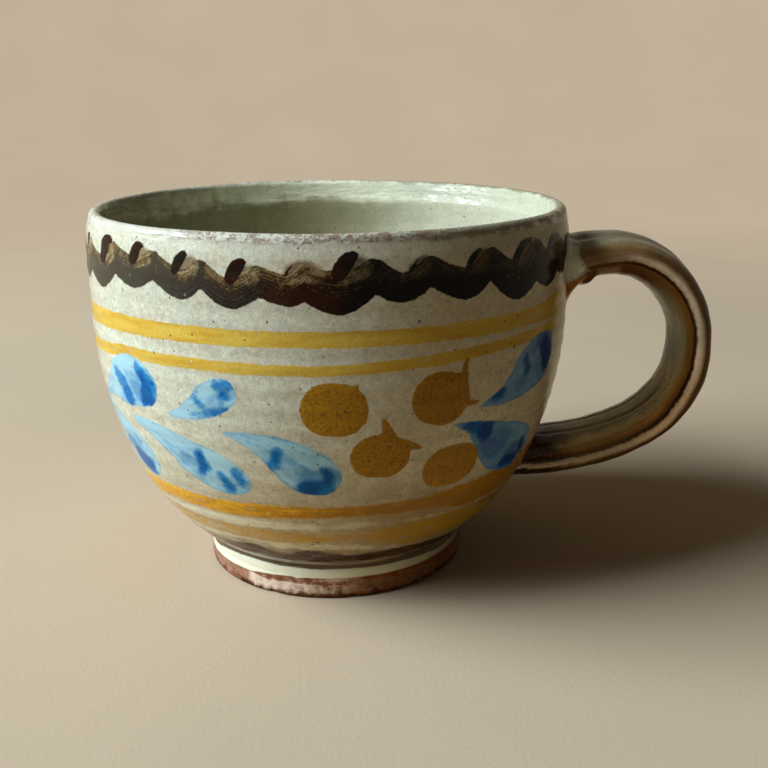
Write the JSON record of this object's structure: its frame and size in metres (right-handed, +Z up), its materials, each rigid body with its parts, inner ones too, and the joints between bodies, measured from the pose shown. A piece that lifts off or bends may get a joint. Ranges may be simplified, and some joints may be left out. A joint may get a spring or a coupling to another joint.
{
  "type": "ceramic cup",
  "caption": "Round thrown ceramic cup on a low turned foot ring, with a pulled strap handle, glazed inside and out over painted slip.",
  "frame": {"origin": "middle of the cup's outline at the plane that it stands on; the bowl's axis is 14.9 mm towards -X", "axes": "+Z up; +X from the bowl to the handle, along the longest extent; -Z out of the foot ring's resting face"},
  "size_m": [0.1198, 0.09, 0.07],
  "materials": {
    "painted_glaze": "glossy pale grey-green glaze over cream slip, with blue, ochre and dark brown brushwork",
    "bare_terracotta": "unglazed red-brown earthenware with smears of slip",
    "white_slip": "glossy white slip, pooled and thin in places",
    "brown_glaze": "glossy grey-green glaze that breaks to brown on ridges and edges"
  },
  "bodies": {
    "root": {"bowl": "painted_glaze", "foot_ring": "bare_terracotta", "foot_luting": "white_slip", "handle": "brown_glaze", "handle_upper_luting": "painted_glaze", "handle_lower_luting": "brown_glaze"}
  },
  "joints": []
}
